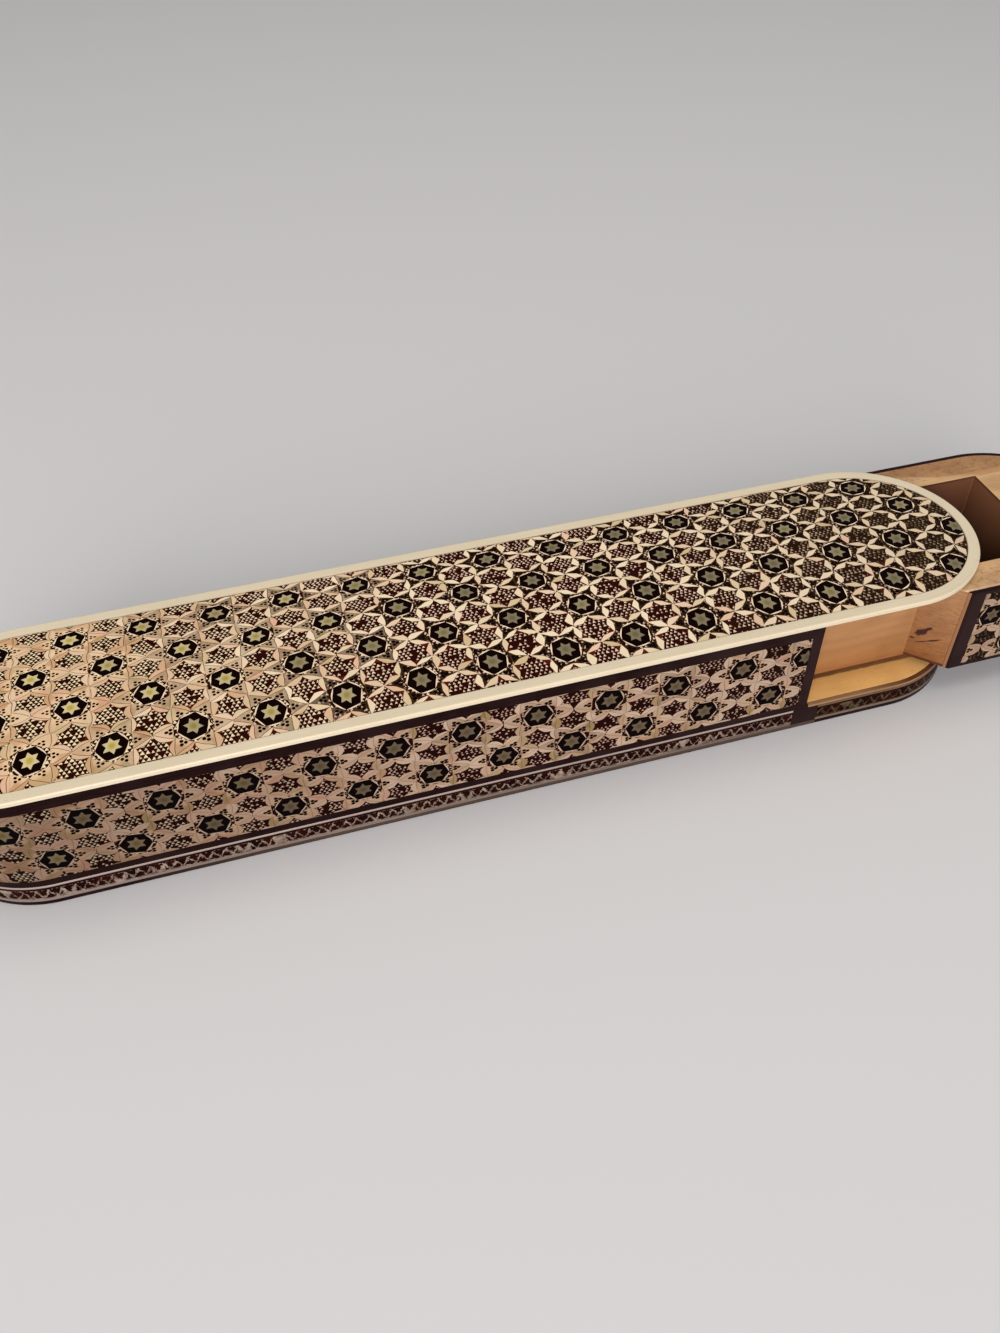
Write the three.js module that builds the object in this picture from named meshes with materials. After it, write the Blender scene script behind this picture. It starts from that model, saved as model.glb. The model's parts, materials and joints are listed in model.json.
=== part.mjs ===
// A pencil box of star marquetry: a long sleeve with round ends and a tray that slides out of it.
// Millimetres. X runs along the box towards the mouth, Y towards the back and Z up. The origin is
// the middle of the sleeve's underside. The tray is drawn as it lies when shut, then pulled out.

import * as THREE from 'three';

// Sleeve: outer form
const LENGTH = 216.6;
const WIDTH = 45;
const HEIGHT = 30.2;
const FACE_INSET = 0.7; // the side faces stand back this far under the moulding's edge
const WALL_SETBACK = 43.2; // each side wall's outer face stops this far short of the lid's end
const SHOULDER_ANGLE = 45; // degrees that the wall ends and the tray's shoulders slant

// Sleeve: boards and veneers
const BASE_PLATE = 1.1;
const FLOOR_TOP = 6.2;
const VENEER = 0.9;
const GLUE = 0.1; // between a veneer and the core that it covers
const CLOSED_END = 16; // thickness of the closed end's core at its middle
const LID_BOARD = 0.5;
const LID_SHEET = 0.55;
const MOULDING_WIDTH = 2.5;

// Sleeve: borders and lines
const UPPER_BORDER = 3.2;
const LOWER_BORDER = 1.1;
const END_STRIP = 2.3;
const FOOT_BLOCK = 5.7;
const FOOT_BLOCK_PAST_END = 2.9;
const LOWER_LINE = 0.65;
const UPPER_LINE = 0.7;
const RIM = 0.6; // the foot's topmost strip, level with the floor board
const RIM_PAST_END = 0.5; // its dark length ends this far past the walls

// Tray
const PULLED_OUT = 32.4;
const TRAY_WIDTH = 30;
const TRAY_WALL = 1.5;
const TRAY_FLOOR = 1.5;
const TRAY_END_WALL = 2;
const SIDE_CLEARANCE = 0.3;
const FLOOR_CLEARANCE = 0.5;
const LID_CLEARANCE = 0.6;
const INNER_END_CLEARANCE = 0.5;
const SHOULDER_CLEARANCE = 0.4;
const NOSE_PAST_LID = 1.7; // the tray's round end stands this far past the lid's when shut
const NOSE_BLOCK = 21.9; // length of the solid nose block, with its veneer
const NOSE_LIFT = 0.8; // the nose's veneer and side fillers stand this far above the tray's bottom
const NOSE_STRIP = 2.8;
const NOSE_UPPER_BORDER = 0.9;
const NOSE_LOWER_BORDER = 0.9;

// Facets
const HALF_TURN_STEPS = 32;
const MOULDING_EDGE_STEPS = 8;

// Sizes that follow
const lidRadius = WIDTH / 2;
const endCentre = LENGTH / 2 - lidRadius;
const wallEnd = LENGTH / 2 - WALL_SETBACK; // where the outer face of each side wall stops
const faceRadius = lidRadius - FACE_INSET;
const veneerRadius = faceRadius - VENEER;
const coreRadius = veneerRadius - GLUE;
const mouldingInner = lidRadius - MOULDING_WIDTH;
const lidRadiusInside = mouldingInner - GLUE;
const lidUnderside = HEIGHT - LID_SHEET - LID_BOARD;
const sheetUnderside = HEIGHT - LID_SHEET;
const wallInner = TRAY_WIDTH / 2 + SIDE_CLEARANCE;
const cavityEnd = -(endCentre + coreRadius - CLOSED_END);
const shoulderSlope = Math.tan(THREE.MathUtils.degToRad(SHOULDER_ANGLE));
const footBlockEnd = wallEnd + FOOT_BLOCK_PAST_END;
const footBlockStart = footBlockEnd - FOOT_BLOCK;
const rimEnd = wallEnd + RIM_PAST_END;
const rimFrom = FLOOR_TOP - RIM;
const footLevels = [
  { name: 'foot_lower_line', from: BASE_PLATE, to: BASE_PLATE + LOWER_LINE, long: 'cream', mouth: 'cream' },
  {
    name: 'foot_marquetry_band',
    from: BASE_PLATE + LOWER_LINE,
    to: rimFrom - UPPER_LINE,
    long: 'marquetry',
    mouth: 'marquetry',
  },
  { name: 'foot_upper_line', from: rimFrom - UPPER_LINE, to: rimFrom, long: 'cream', mouth: 'cream' },
];

const trayHalf = TRAY_WIDTH / 2;
const trayInside = trayHalf - TRAY_WALL;
const trayBottom = FLOOR_TOP + FLOOR_CLEARANCE;
const trayTop = lidUnderside - LID_CLEARANCE;
const noseBottom = trayBottom + NOSE_LIFT;
const trayStart = cavityEnd + INNER_END_CLEARANCE;
const noseCentre = endCentre + NOSE_PAST_LID + FACE_INSET;
const noseBlockFace = noseCentre + faceRadius - NOSE_BLOCK;
const shoulderEnd = wallEnd + SHOULDER_CLEARANCE;

const materials = {
  cream: new THREE.MeshStandardMaterial({ color: 0xe6dcc0, roughness: 0.25 }),
  marquetry: new THREE.MeshStandardMaterial({ color: 0x9a825c, roughness: 0.3 }),
  dark: new THREE.MeshStandardMaterial({ color: 0x2c1c1a, roughness: 0.35 }),
  wood: new THREE.MeshStandardMaterial({ color: 0xb57c4c, roughness: 0.55 }),
};

// The slant of a wall end or shoulder: its X at a distance from the middle plane
function slantX(outerX, y) {
  return outerX - (faceRadius - y) * shoulderSlope;
}

// An upright prism between two heights
function addPrism(group, name, shape, from, to, material) {
  const geometry = new THREE.ExtrudeGeometry(shape, { depth: to - from, bevelEnabled: false });
  const mesh = new THREE.Mesh(geometry, materials[material]);
  mesh.name = name;
  mesh.position.z = from;
  group.add(mesh);
}

// Points of an arc about a centre on the X axis, from one angle to another in radians
function arcPoints(centreX, radius, start, end) {
  const steps = Math.max(2, Math.round(Math.abs(end - start) / Math.PI * HALF_TURN_STEPS));
  return Array.from({ length: steps + 1 }, (_, i) => {
    const angle = start + (end - start) * i / steps;
    return new THREE.Vector2(centreX + radius * Math.cos(angle), radius * Math.sin(angle));
  });
}

function shapeOf(...points) {
  return new THREE.Shape(points.flat());
}

function point(x, y) {
  return new THREE.Vector2(x, y);
}

// The same outline on the front (side -1) or the back (side 1) of the box
function onSide(points, side) {
  return shapeOf(points.flat().map((p) => point(p.x, side * p.y)));
}

// The full plan of a lid, floor or plate, with a round end at each end
function stadium(radius) {
  const right = arcPoints(endCentre, radius, -Math.PI / 2, Math.PI / 2);
  const left = arcPoints(-endCentre, radius, Math.PI / 2, 1.5 * Math.PI);
  return shapeOf(right, left);
}

// A band of even width round one end, with a leg along each side up to legX
function endBand(centreX, inner, outer, legX) {
  const turn = Math.sign(legX - centreX);
  const start = turn * Math.PI / 2;
  const outside = arcPoints(centreX, outer, start, start + Math.PI);
  const inside = arcPoints(centreX, inner, start + Math.PI, start);
  return shapeOf(
    point(legX, turn * outer), outside, point(legX, -turn * outer),
    point(legX, -turn * inner), inside, point(legX, turn * inner),
  );
}

// A half ring round one end, with no legs
function halfRing(centreX, inner, outer, start) {
  return shapeOf(
    arcPoints(centreX, outer, start, start + Math.PI),
    arcPoints(centreX, inner, start + Math.PI, start),
  );
}

// A straight run of veneer on one side face
function veneerRun(fromX, toX) {
  return [
    point(fromX, veneerRadius), point(toX, veneerRadius),
    point(toX, faceRadius), point(fromX, faceRadius),
  ];
}

// A round-edged strip swept right round the lid: profile points are (distance out, height)
function sweepRound(profile) {
  const path = [
    ...arcPoints(endCentre, 1, -Math.PI / 2, Math.PI / 2).map((p) => ({ centre: endCentre, p })),
    ...arcPoints(-endCentre, 1, Math.PI / 2, 1.5 * Math.PI).map((p) => ({ centre: -endCentre, p })),
  ];
  const positions = path.flatMap(({ centre, p }) => profile.flatMap(([out, z]) => [
    centre + (p.x - centre) * out, p.y * out, z,
  ]));
  const count = profile.length;
  const index = [];
  path.forEach((_, i) => {
    const here = i * count;
    const next = ((i + 1) % path.length) * count;
    profile.forEach((__, j) => {
      const k = (j + 1) % count;
      index.push(here + j, next + j, next + k);
      index.push(here + j, next + k, here + k);
    });
  });
  const geometry = new THREE.BufferGeometry();
  geometry.setAttribute('position', new THREE.Float32BufferAttribute(positions, 3));
  geometry.setIndex(index);
  geometry.computeVertexNormals();
  return geometry;
}

// The two lengths of one level of the foot: a long one round the closed end, and one at the mouth
function addFootLevel(group, { name, from, to, long, mouth }, longEnd, mouthEnd) {
  const longRing = endBand(-endCentre, veneerRadius, faceRadius, longEnd);
  const mouthRing = endBand(endCentre, veneerRadius, faceRadius, mouthEnd);
  addPrism(group, `${name}_long`, longRing, from, to, long);
  addPrism(group, `${name}_mouth`, mouthRing, from, to, mouth);
}

// The foot: dark plate, floor board, and the lines, band and rim let into its edge
function addFoot(group) {
  addPrism(group, 'base_plate', stadium(faceRadius), 0, BASE_PLATE, 'dark');
  addPrism(group, 'bottom_board', stadium(coreRadius), BASE_PLATE, FLOOR_TOP, 'wood');
  for (const level of footLevels) {
    addFootLevel(group, level, footBlockStart, footBlockEnd);
  }
  const rim = { name: 'foot_rim', from: rimFrom, to: FLOOR_TOP, long: 'dark', mouth: 'wood' };
  addFootLevel(group, rim, rimEnd, rimEnd);
}

// One side of the sleeve: core, marquetry, its dark frame, and the block at its foot
function addSide(group, name, side) {
  const coreStart = Math.acos((cavityEnd + endCentre) / coreRadius);
  const core = onSide([
    point(cavityEnd, wallInner), point(slantX(wallEnd, wallInner), wallInner),
    point(slantX(wallEnd, coreRadius), coreRadius),
    arcPoints(-endCentre, coreRadius, Math.PI / 2, coreStart),
  ], side);
  addPrism(group, `${name}_wall`, core, FLOOR_TOP, lidUnderside, 'wood');

  const run = onSide(veneerRun(-endCentre, wallEnd - END_STRIP), side);
  const lowerTop = FLOOR_TOP + LOWER_BORDER;
  const upperBottom = lidUnderside - UPPER_BORDER;
  addPrism(group, `${name}_lower_border`, run, FLOOR_TOP, lowerTop, 'dark');
  addPrism(group, `${name}_marquetry`, run, lowerTop, upperBottom, 'marquetry');
  addPrism(group, `${name}_upper_border`, run, upperBottom, lidUnderside, 'dark');

  const strip = onSide([
    point(wallEnd - END_STRIP, veneerRadius), point(slantX(wallEnd, veneerRadius), veneerRadius),
    point(wallEnd, faceRadius), point(wallEnd - END_STRIP, faceRadius),
  ], side);
  addPrism(group, `${name}_end_strip`, strip, FLOOR_TOP, lidUnderside, 'dark');

  const block = onSide(veneerRun(footBlockStart, footBlockEnd), side);
  addPrism(group, `${name}_foot_block`, block, BASE_PLATE, rimFrom, 'dark');
}

// The closed end: a D-shaped block with its marquetry and borders bent round it
function addClosedEnd(group) {
  const reach = Math.acos((cavityEnd + endCentre) / coreRadius);
  const block = shapeOf(arcPoints(-endCentre, coreRadius, reach, 2 * Math.PI - reach));
  addPrism(group, 'closed_end_block', block, FLOOR_TOP, lidUnderside, 'wood');

  const ring = halfRing(-endCentre, veneerRadius, faceRadius, Math.PI / 2);
  const lowerTop = FLOOR_TOP + LOWER_BORDER;
  const upperBottom = lidUnderside - UPPER_BORDER;
  addPrism(group, 'closed_end_lower_border', ring, FLOOR_TOP, lowerTop, 'dark');
  addPrism(group, 'closed_end_marquetry', ring, lowerTop, upperBottom, 'marquetry');
  addPrism(group, 'closed_end_upper_border', ring, upperBottom, lidUnderside, 'dark');
}

// The lid: board, marquetry sheet and the round-edged moulding that frames them
function addLid(group) {
  addPrism(group, 'lid_board', stadium(lidRadiusInside), lidUnderside, sheetUnderside, 'wood');
  addPrism(group, 'lid_marquetry', stadium(lidRadiusInside), sheetUnderside, HEIGHT, 'marquetry');

  const edge = (HEIGHT - lidUnderside) / 2;
  const profile = [[mouldingInner, HEIGHT], [mouldingInner, lidUnderside]];
  for (let i = 0; i <= MOULDING_EDGE_STEPS; i += 1) {
    const angle = -Math.PI / 2 + Math.PI * i / MOULDING_EDGE_STEPS;
    profile.push([lidRadius - edge + edge * Math.cos(angle), lidUnderside + edge + edge * Math.sin(angle)]);
  }
  const moulding = new THREE.Mesh(sweepRound(profile), materials.cream);
  moulding.name = 'lid_moulding';
  group.add(moulding);
}

// The tray's box: floor, two thin walls, the inner end wall and the solid nose block
function addTrayBox(group) {
  const floor = [
    point(trayStart + TRAY_END_WALL, trayInside), point(noseBlockFace, trayInside),
    point(noseBlockFace, -trayInside), point(trayStart + TRAY_END_WALL, -trayInside),
  ];
  addPrism(group, 'tray_floor', shapeOf(floor.reverse()), trayBottom, trayBottom + TRAY_FLOOR, 'wood');

  const endWall = [
    point(trayStart, -trayInside), point(trayStart + TRAY_END_WALL, -trayInside),
    point(trayStart + TRAY_END_WALL, trayInside), point(trayStart, trayInside),
  ];
  addPrism(group, 'tray_inner_end', shapeOf(endWall), trayBottom, trayTop, 'wood');

  const insideAngle = Math.asin(trayInside / coreRadius);
  const outsideAngle = Math.asin(trayHalf / coreRadius);
  const block = shapeOf(
    point(noseBlockFace, -trayInside),
    arcPoints(noseCentre, coreRadius, -insideAngle, insideAngle),
    point(noseBlockFace, trayInside),
  );
  addPrism(group, 'tray_nose_block', block, trayBottom, trayTop, 'wood');

  for (const [name, side] of [['front', -1], ['back', 1]]) {
    const wall = onSide([
      point(trayStart, trayInside), arcPoints(noseCentre, coreRadius, insideAngle, outsideAngle),
      point(trayStart, trayHalf),
    ], side);
    addPrism(group, `tray_${name}_wall`, wall, trayBottom, trayTop, 'wood');

    const filler = onSide([
      point(slantX(shoulderEnd, trayHalf), trayHalf),
      arcPoints(noseCentre, coreRadius, outsideAngle, Math.PI / 2),
      point(slantX(shoulderEnd, coreRadius), coreRadius),
    ], side);
    addPrism(group, `tray_${name}_filler`, filler, noseBottom, trayTop, 'wood');
  }
}

// The tray's veneered nose: marquetry in three lengths, with its dark frame
function addTrayNose(group) {
  const marquetryFrom = noseBottom + NOSE_LOWER_BORDER;
  const marquetryTo = trayTop - NOSE_UPPER_BORDER;
  const legX = shoulderEnd + NOSE_STRIP;
  const ring = endBand(noseCentre, veneerRadius, faceRadius, legX);
  addPrism(group, 'nose_lower_border', ring, noseBottom, marquetryFrom, 'dark');
  addPrism(group, 'nose_upper_border', ring, marquetryTo, trayTop, 'dark');

  const round = halfRing(noseCentre, veneerRadius, faceRadius, -Math.PI / 2);
  addPrism(group, 'nose_end_marquetry', round, marquetryFrom, marquetryTo, 'marquetry');

  for (const [name, side] of [['front', -1], ['back', 1]]) {
    const run = onSide(veneerRun(legX, noseCentre), side);
    addPrism(group, `nose_${name}_marquetry`, run, marquetryFrom, marquetryTo, 'marquetry');
    const strip = onSide([
      point(slantX(shoulderEnd, veneerRadius), veneerRadius), point(legX, veneerRadius),
      point(legX, faceRadius), point(shoulderEnd, faceRadius),
    ], side);
    addPrism(group, `nose_${name}_strip`, strip, noseBottom, trayTop, 'dark');
  }
}

const sleeve = new THREE.Group();
addFoot(sleeve);
addSide(sleeve, 'front', -1);
addSide(sleeve, 'back', 1);
addClosedEnd(sleeve);
addLid(sleeve);

const tray = new THREE.Group();
addTrayBox(tray);
addTrayNose(tray);
tray.position.x = PULLED_OUT;

const box = new THREE.Group();
box.add(sleeve, tray);

export default box;
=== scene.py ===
# %% [markdown]
# A pencil box of star marquetry.
#
# The real box is a long wooden sleeve with round ends and a tray that slides out of one end. Its
# outside is covered with thin sheets of marquetry, and a cream moulding runs round the lid. This
# lesson dresses the plain solids of the box: it models finer pieces over them with Blender's own
# tools, gives each a finish built from shader nodes, and sets up a floor, lights and a camera.
#
# The solids come first, as a fixed frame. Every new piece takes its size and place from them, so
# nothing has to be fitted by eye.

# %% Load the solids and note their box
import json
import math

import bmesh
import bpy
from mathutils import Matrix, Vector


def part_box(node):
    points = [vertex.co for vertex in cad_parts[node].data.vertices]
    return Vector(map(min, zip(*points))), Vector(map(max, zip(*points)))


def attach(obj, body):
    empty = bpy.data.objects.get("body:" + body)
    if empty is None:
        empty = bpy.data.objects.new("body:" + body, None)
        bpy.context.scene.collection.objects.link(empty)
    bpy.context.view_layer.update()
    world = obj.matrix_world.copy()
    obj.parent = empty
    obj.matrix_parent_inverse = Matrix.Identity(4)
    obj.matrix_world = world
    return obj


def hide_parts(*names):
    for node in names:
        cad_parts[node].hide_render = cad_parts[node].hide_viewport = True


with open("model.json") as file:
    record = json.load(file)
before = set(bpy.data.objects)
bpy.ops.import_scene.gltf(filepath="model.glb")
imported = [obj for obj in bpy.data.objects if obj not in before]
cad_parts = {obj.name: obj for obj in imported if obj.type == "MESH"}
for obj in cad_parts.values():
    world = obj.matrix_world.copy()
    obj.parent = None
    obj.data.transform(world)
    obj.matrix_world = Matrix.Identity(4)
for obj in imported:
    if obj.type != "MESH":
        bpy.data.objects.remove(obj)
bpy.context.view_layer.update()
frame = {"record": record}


# %% [markdown]
# Sizes are read off the solids in metres. A millimetre gets a name, because all that is chosen below
# is easier to think of in millimetres.

# %% Read the sizes that the pieces share
MM = 0.001
SHOULDER_ANGLE = math.radians(45)

lid_low, lid_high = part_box("lid_moulding")
sheet_low, sheet_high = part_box("lid_marquetry")
plate_low, plate_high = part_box("base_plate")
block_low, block_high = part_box("front_foot_block")
board_low, board_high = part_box("bottom_board")

lid_radius = lid_high.y
face_radius = plate_high.y
core_radius = board_high.y
sheet_radius = sheet_high.y
veneer = face_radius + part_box("front_marquetry")[1].y
end_centre = plate_high.x - face_radius
floor_top = board_high.z
lid_under = lid_low.z
wall_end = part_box("front_end_strip")[1].x
wall_inner = -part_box("front_wall")[1].y
cavity_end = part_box("closed_end_block")[1].x

shoulder_low, shoulder_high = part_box("nose_front_strip")
nose_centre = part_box("nose_end_marquetry")[0].x
nose_low, tray_top = shoulder_low.z, shoulder_high.z
nose_leg = shoulder_high.x
shoulder_end = shoulder_low.x + veneer * math.tan(SHOULDER_ANGLE)
floor_low, floor_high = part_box("tray_floor")
inner_low, inner_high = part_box("tray_inner_end")
tray_bottom = floor_low.z
tray_start = inner_low.x
tray_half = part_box("tray_back_wall")[1].y
tray_inside = floor_high.y
compartment_end = floor_high.x
print("lid radius", round(lid_radius / MM, 2), "face radius", round(face_radius / MM, 2), "mm")
print("veneer", round(veneer / MM, 2), "mm thick")
print("tray from", round(tray_start / MM, 1), "to", round((nose_centre + face_radius) / MM, 1), "mm")

# %% [markdown]
# Finishes come before the pieces, so that each piece can be dressed as soon as it is made.
#
# A pattern such as star marquetry is geometry drawn by sums: distances to lines, folded angles,
# repeats. Shader nodes can work those sums out at every point, which keeps the pattern sharp from
# any distance and needs no picture. Node by node the sums would be hard to read, so a small helper
# turns written formulas into nodes: adding or multiplying two values adds the node that does it.

# %% Write shader sums as formulas
class Value:
    """A number put out by a node. Sums and products of values add nodes to the same tree."""

    def __init__(self, socket):
        self.socket = socket

    def sum(self, operation, *others):
        return math_node(operation, self, *others)

    def __add__(self, other): return self.sum("ADD", other)
    def __radd__(self, other): return self.sum("ADD", other)
    def __sub__(self, other): return self.sum("SUBTRACT", other)
    def __rsub__(self, other): return math_node("SUBTRACT", other, self)
    def __mul__(self, other): return self.sum("MULTIPLY", other)
    def __rmul__(self, other): return self.sum("MULTIPLY", other)
    def __truediv__(self, other): return self.sum("DIVIDE", other)
    def __lt__(self, other): return self.sum("LESS_THAN", other)
    def __gt__(self, other): return self.sum("GREATER_THAN", other)
    def __abs__(self): return self.sum("ABSOLUTE")


def plain(value):
    """The socket behind a value, and anything else as it is."""
    return value.socket if isinstance(value, Value) else value


def add_node(kind, *values):
    """A new node in the tree that one of the values comes from."""
    sockets = [plain(v) for v in values if isinstance(plain(v), bpy.types.NodeSocket)]
    return sockets[0].id_data.nodes.new(kind)


def connect(socket, value):
    """Gives a socket a value: another node's output, a plain number, or a colour of three shares."""
    value = plain(value)
    if isinstance(value, bpy.types.NodeSocket):
        socket.id_data.links.new(value, socket)
    else:
        socket.default_value = (*value, 1) if isinstance(value, tuple) else value


def math_node(operation, *values, clamp=False):
    node = add_node("ShaderNodeMath", *values)
    node.operation, node.use_clamp = operation, clamp
    for socket, value in zip(node.inputs, values):
        connect(socket, value)
    return Value(node.outputs[0])


def clamped(value):
    return math_node("ADD", value, 0.0, clamp=True)


def between(value, low, high):
    """1 where the value is between low and high, and 0 elsewhere."""
    return (value > low) * (value < high)


def rise(value, start, end):
    """0 at the start, 1 at the end, and an even slope between the two."""
    return clamped((value - start) * (1 / (end - start)))


def wrap(value, half):
    """The value brought back between minus half and plus half."""
    return value.sum("WRAP", half, -half)


def mix_node(kind, share, below, above):
    node = add_node("ShaderNodeMix", share, below, above)
    node.data_type, node.blend_type = "RGBA", kind
    connect(node.inputs["Factor"], share)
    connect(node.inputs[6], below)
    connect(node.inputs[7], above)
    return node.outputs[2]


def blend_colours(share, below, above):
    """The colour above laid over the colour below, by a share from 0 to 1."""
    return mix_node("MIX", share, below, above)


def toned(colour, tone):
    """The colour darkened by a tone, each channel by its own share."""
    return mix_node("MULTIPLY", 1.0, colour, tone)


def lay_over(colour, *layers):
    """A colour with others laid over it in turn. Each layer is (share, colour)."""
    for share, above in layers:
        colour = blend_colours(share, colour, above)
    return colour


def combine(x, y, z):
    node = add_node("ShaderNodeCombineXYZ", x, y, z)
    for socket, value in zip(node.inputs, (x, y, z)):
        connect(socket, value)
    return node.outputs[0]


def separate(vector):
    node = add_node("ShaderNodeSeparateXYZ", vector)
    connect(node.inputs[0], vector)
    return [Value(socket) for socket in node.outputs]


def noise(vector, scale, detail=2.0, roughness=0.5):
    """A smooth noise from 0 to 1, and three more of them as a colour."""
    node = add_node("ShaderNodeTexNoise", vector)
    for name, value in zip(("Vector", "Scale", "Detail", "Roughness"), (vector, scale, detail, roughness)):
        connect(node.inputs[name], value)
    return Value(node.outputs["Fac"]), node.outputs["Color"]


def lots(x, y, z):
    """Three numbers drawn by lot, the same wherever x, y and z are the same."""
    place = combine(x, y, z)
    node = add_node("ShaderNodeTexWhiteNoise", place)
    connect(node.inputs["Vector"], place)
    return separate(node.outputs["Color"])


# %% [markdown]
# A node group keeps an effect that several finishes use. Its inputs and outputs have names, so a
# finish only says how large or how strong the effect is there.

# %% Make node groups and materials
FLOAT, VECTOR, COLOUR = "NodeSocketFloat", "NodeSocketVector", "NodeSocketColor"


def new_group(name, inputs, outputs):
    """A node group with named sockets: its tree, its inputs by name, and its output node."""
    tree = bpy.data.node_groups.new(name, "ShaderNodeTree")
    for socket_name, kind in inputs.items():
        tree.interface.new_socket(name=socket_name, in_out="INPUT", socket_type=kind)
    for socket_name, kind in outputs.items():
        tree.interface.new_socket(name=socket_name, in_out="OUTPUT", socket_type=kind)
    given = tree.nodes.new("NodeGroupInput")
    return tree, {n: given.outputs[n] for n in inputs}, tree.nodes.new("NodeGroupOutput")


def use_group(group, **values):
    """Places a group in the tree that its values come from, and returns its outputs by name."""
    node = add_node("ShaderNodeGroup", *values.values())
    node.node_tree = group
    for name, value in values.items():
        connect(node.inputs[name], value)
    return node.outputs


def new_material(name, viewport_colour):
    """A material with a Principled shader: the material, the shader, and Object coordinates in mm."""
    material = bpy.data.materials.new(name)
    material.use_nodes = True
    material.diffuse_color = (*viewport_colour, 1)
    nodes = material.node_tree.nodes
    millimetres = nodes.new("ShaderNodeVectorMath")
    millimetres.operation = "SCALE"
    connect(millimetres.inputs[0], nodes.new("ShaderNodeTexCoord").outputs["Object"])
    connect(millimetres.inputs["Scale"], 1 / MM)
    return material, nodes["Principled BSDF"], millimetres.outputs[0]


def bump(height, strength, distance_mm):
    node = add_node("ShaderNodeBump", height)
    connect(node.inputs["Height"], height)
    connect(node.inputs["Strength"], strength)
    connect(node.inputs["Distance"], distance_mm * MM)
    return node.outputs["Normal"]


# %% [markdown]
# The star marquetry of the real box is made of glued rods of wood, bone and brass, cut across into
# thin slices. Each star is a black six-sided eye with a small metal star in it, edged by slivers of
# bone, and then six points, each held between two leaf-shaped blades of bone. Neighbouring stars
# touch tip to tip. The gaps between them are filled with rows of tiny cream triangles on red-brown,
# with a red triangle in each notch.
#
# The pattern could be modelled piece by piece, but there are thousands of pieces, all level with
# each other. So it is drawn in the finish: a point is brought into the cell of its nearest star,
# and its angle is folded twelve times over, so that one blade and one slice of the eye are enough
# to draw the whole. The slices of a real sheet never line up quite, so each strip is shifted a
# little, and each star and blade is moved and toned by lot.

# %% Draw the star marquetry
# Sizes are shares of the distance from star to star.
HALF_ROW = math.sqrt(3) / 2
TIP = 0.5
NOTCH, NOTCH_DEPTH = TIP / math.sqrt(3), 0.092
EYE, EYE_RIM, EYE_SLIVER = 0.186, 0.014, 0.020
INNER_STAR = 0.132
BLADE, BLADE_OUTLINE = 0.050, 0.008
POINT_START = 0.255
DOT, FIRST_DOT, PAIR_OUT, PAIR_SIDE = 0.021, 0.342, 0.292, 0.031
GRAIN = 1 / 15
DRIFT, TREMBLE, STRIP_STEP, STAR_SHIFT = 0.06, 0.040, 0.06, 0.030

BONE = (0.90, 0.76, 0.54)
TAN_BONE = (0.61, 0.385, 0.21)
PINK_BONE = (0.78, 0.47, 0.33)
OLIVE_BONE = (0.52, 0.40, 0.18)
FADED_BONE = (0.42, 0.34, 0.24)
BRIGHT_CRUMB, WORN_CRUMB = (0.95, 0.85, 0.53), (0.80, 0.58, 0.44)
FADED_CRUMB = (0.13, 0.08, 0.035)
POINT_CREAM, POINT_OLIVE = (0.82, 0.60, 0.37), (0.034, 0.017, 0.005)
EYE_BLACK = (0.005, 0.0008, 0.0004)
# The bright brass and star colours carry a painted reflection; the old ones are the brass without it.
BRASS, UNLIT_OLD_BRASS = (0.66, 0.53, 0.07), (0.19, 0.155, 0.075)
BRIGHT_STAR, UNLIT_OLD_STAR = (0.86, 0.78, 0.44), (0.27, 0.23, 0.145)
GAP_BROWN, GAP_OLIVE = (0.024, 0.003, 0.001), (0.019, 0.010, 0.004)
NOTCH_RED = (0.11, 0.010, 0.004)
SEAM_OLIVE = (0.24, 0.17, 0.07)
OUTLINE_OLIVE = (0.055, 0.018, 0.005)
PATTERN_INPUTS = (
    "Along", "Up", "Squash", "Eye turn", "Age", "Sharpness", "Dullness", "Fade", "Olive uprights",
    "Seam", "Seed",
)


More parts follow.
